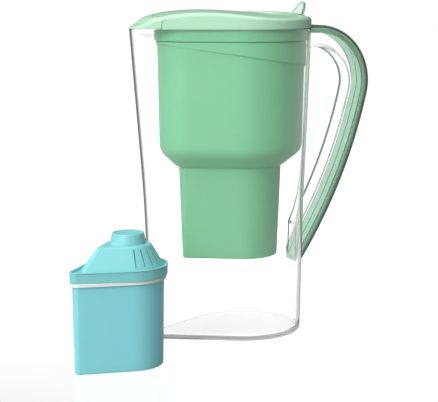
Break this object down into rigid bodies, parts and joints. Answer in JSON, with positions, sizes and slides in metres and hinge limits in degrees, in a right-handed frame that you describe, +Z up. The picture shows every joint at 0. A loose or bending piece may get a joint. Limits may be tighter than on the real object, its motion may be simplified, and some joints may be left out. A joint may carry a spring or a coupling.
{
  "type": "water filter pitcher",
  "caption": "Clear teardrop-plan jug with hanging mint funnel, domed two-flap lid, clipped grip on a looped handle, and a teal slotted filter cartridge standing beside it.",
  "frame": {"origin": "on the jug's flat base, at the centre of the round rear end of its teardrop plan", "axes": "+Z up out of the jug's mouth, -X towards the spout, +X towards the handle"},
  "size_m": [0.2919, 0.1509, 0.2768],
  "materials": {
    "clear_plastic": "clear, polished",
    "clear_green": "translucent, polished",
    "mint_body": "moulded, satin gloss",
    "mint_lid": "moulded, gloss",
    "hinge_steel": "drawn wire",
    "teal_cup": "moulded, satin",
    "teal_cap": "moulded, satin",
    "seal_white": "soft, matt",
    "screen_white": "moulded grid",
    "felt_white": "pressed felt",
    "mineral_grain": "small ceramic beads",
    "resin_grain": "fine amber beads",
    "carbon_grain": "crushed grains"
  },
  "bodies": {
    "jug": {"jug_body": "clear_plastic", "handle_cover": "clear_green"},
    "funnel": {"funnel": "mint_body"},
    "lid": {"lid_shell": "mint_lid"},
    "spout_flap": {"spout_flap": "mint_lid"},
    "fill_flap": {"fill_flap": "mint_lid", "fill_flap_pin": "hinge_steel", "thumb_tab": "clear_green"},
    "cartridge": {"cartridge_cup": "teal_cup", "cartridge_seal": "seal_white", "cartridge_cap": "teal_cap", "outlet_screen": "screen_white", "lower_pad": "felt_white", "mineral_bed": "mineral_grain", "mineral_divider": "felt_white", "resin_bed": "resin_grain", "resin_divider": "felt_white", "carbon_bed": "carbon_grain", "upper_pad": "felt_white", "inlet_screen": "screen_white"}
  },
  "joints": [
    {"name": "funnel_lift", "type": "slide", "parent": "jug", "child": "funnel", "axis": [0, 0, 1], "range_m": [0, 0.2]},
    {"name": "lid_lift", "type": "slide", "parent": "funnel", "child": "lid", "axis": [0, 0, 1], "range_m": [0, 0.06]},
    {"name": "spout_flap_hinge", "type": "hinge", "parent": "lid", "child": "spout_flap", "pos_m": [-0.08001, 0, 0.2634], "axis": [0, 1, 0], "range_deg": [0, 60]},
    {"name": "fill_flap_hinge", "type": "hinge", "parent": "lid", "child": "fill_flap", "pos_m": [0.049, 0, 0.264], "axis": [0, 1, 0], "range_deg": [0, 50]},
    {"name": "cartridge_lift", "type": "slide", "parent": "jug", "child": "cartridge", "axis": [0, 0, 1], "range_m": [0, 0.12]}
  ]
}
